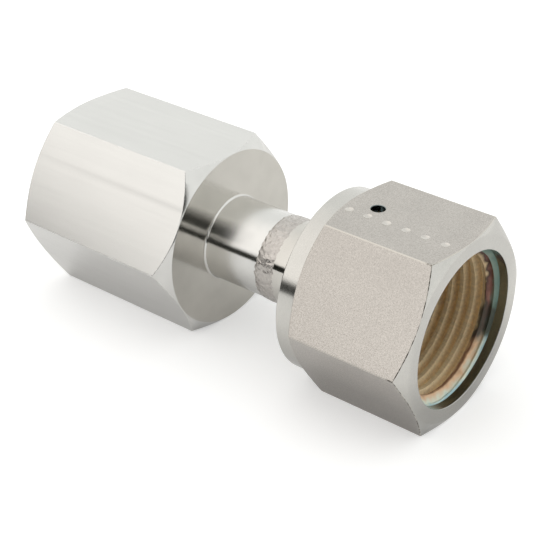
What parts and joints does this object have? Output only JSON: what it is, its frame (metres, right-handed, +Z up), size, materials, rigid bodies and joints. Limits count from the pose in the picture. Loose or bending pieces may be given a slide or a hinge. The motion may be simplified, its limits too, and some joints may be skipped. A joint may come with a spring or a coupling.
{
  "type": "female connector fitting",
  "caption": "Hex body with a female pipe port, welded through a slim round neck to a face-seal gland that carries a free-turning female hex nut.",
  "frame": {"origin": "on the axis of the fitting, in the plane where the gland's sealing bead meets its gasket", "axes": "+X along the axis from the pipe port to the mouth of the nut, +Z up and square to the upper flats; the part lies on the lower flats of its two hexes"},
  "size_m": [0.0689, 0.0312, 0.027],
  "materials": {
    "body_steel": "drawn hex bar with turned ends, bright satin",
    "weld_metal": "rippled fusion weld, dull",
    "gland_steel": "fine turned and polished",
    "nut_steel": "tumbled, fine grained, with a tarnished silver-plated thread"
  },
  "bodies": {
    "connector": {"hex_body": "body_steel", "weld_seam": "weld_metal", "face_seal_gland": "gland_steel"},
    "nut": {"female_nut": "nut_steel"}
  },
  "joints": [
    {"name": "nut_spin", "type": "hinge", "parent": "connector", "child": "nut", "pos_m": [-0.0079, 0, 0], "axis": [1, 0, 0], "continuous": true}
  ]
}
